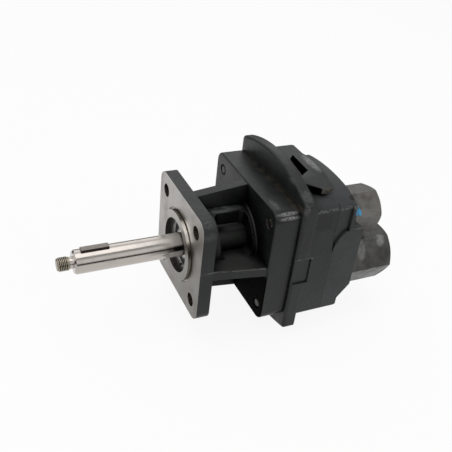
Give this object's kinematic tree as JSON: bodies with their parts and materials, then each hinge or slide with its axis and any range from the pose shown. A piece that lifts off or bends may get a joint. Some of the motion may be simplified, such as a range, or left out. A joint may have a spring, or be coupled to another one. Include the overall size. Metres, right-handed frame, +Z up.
{
  "type": "hydraulic motor",
  "caption": "Hydraulic gear motor with a keyed, threaded output shaft carried in a windowed cast bracket with a square flange, a D-shaped plate and hexagonal rear ports.",
  "frame": {"origin": "centre of the pilot on the bracket's front mounting face, on the output shaft's axis", "axes": "+X runs along the shaft from the front mounting face towards the ports, so the output shaft points to -X; +Z is up, through the top web and the ridge; -Y is the side with the ports' axes"},
  "size_m": [0.324, 0.1295, 0.167],
  "materials": {
    "black_casting": "satin black paint over a cast surface, machined front face bare",
    "ground_steel": "ground",
    "key_steel": "drawn",
    "gear_steel": "ground and hardened",
    "bearing_steel": "polished",
    "cage_steel": "pressed",
    "spring_steel": "oiled",
    "bolt_steel": "dull",
    "bare_steel": "turned, unpainted and dull",
    "bronze": "machined",
    "black_rubber": "matt"
  },
  "bodies": {
    "housing": {"bearing_outer_race": "bearing_steel", "bearing_retaining_ring": "spring_steel", "bearing_seals": "black_rubber", "body_bolts": "bolt_steel", "bracket": "black_casting", "dowel_pins": "bolt_steel", "drive_front_bushing": "bronze", "drive_rear_bushing": "bronze", "front_gasket": "black_rubber", "front_wear_plate": "bronze", "gear_housing": "black_casting", "idler_front_bushing": "bronze", "idler_rear_bushing": "bronze", "lower_port_adapter": "bare_steel", "lower_port_ring": "black_rubber", "mounting_plate": "black_casting", "rear_cover": "black_casting", "rear_gasket": "black_rubber", "rear_wear_plate": "bronze", "ridge_plug": "bolt_steel", "shaft_seal": "black_rubber", "upper_port_adapter": "bare_steel", "upper_port_ring": "black_rubber"},
    "drive_shaft": {"drive_shaft": "ground_steel", "shaft_key": "key_steel", "gear_key": "key_steel", "drive_gear": "gear_steel", "bearing_inner_race": "bearing_steel", "shaft_snap_rings": "spring_steel"},
    "idler": {"idler_gear": "gear_steel", "idler_shaft": "ground_steel"},
    "bearing_cage": {"bearing_cage": "cage_steel", "bearing_balls": "bearing_steel"}
  },
  "joints": [
    {"name": "drive_shaft_spin", "type": "hinge", "parent": "housing", "child": "drive_shaft", "pos_m": [0, 0, 0], "axis": [1, 0, 0], "continuous": true},
    {"name": "idler_spin", "type": "hinge", "parent": "housing", "child": "idler", "pos_m": [0.11175, -0.036, 0], "axis": [1, 0, 0], "continuous": true},
    {"name": "bearing_cage_spin", "type": "hinge", "parent": "housing", "child": "bearing_cage", "pos_m": [0.0125, 0, 0], "axis": [1, 0, 0], "continuous": true}
  ],
  "couplings": [
    {"joint": "idler_spin", "follows": "drive_shaft_spin", "ratio": -1},
    {"joint": "bearing_cage_spin", "follows": "drive_shaft_spin", "ratio": 0.4}
  ]
}
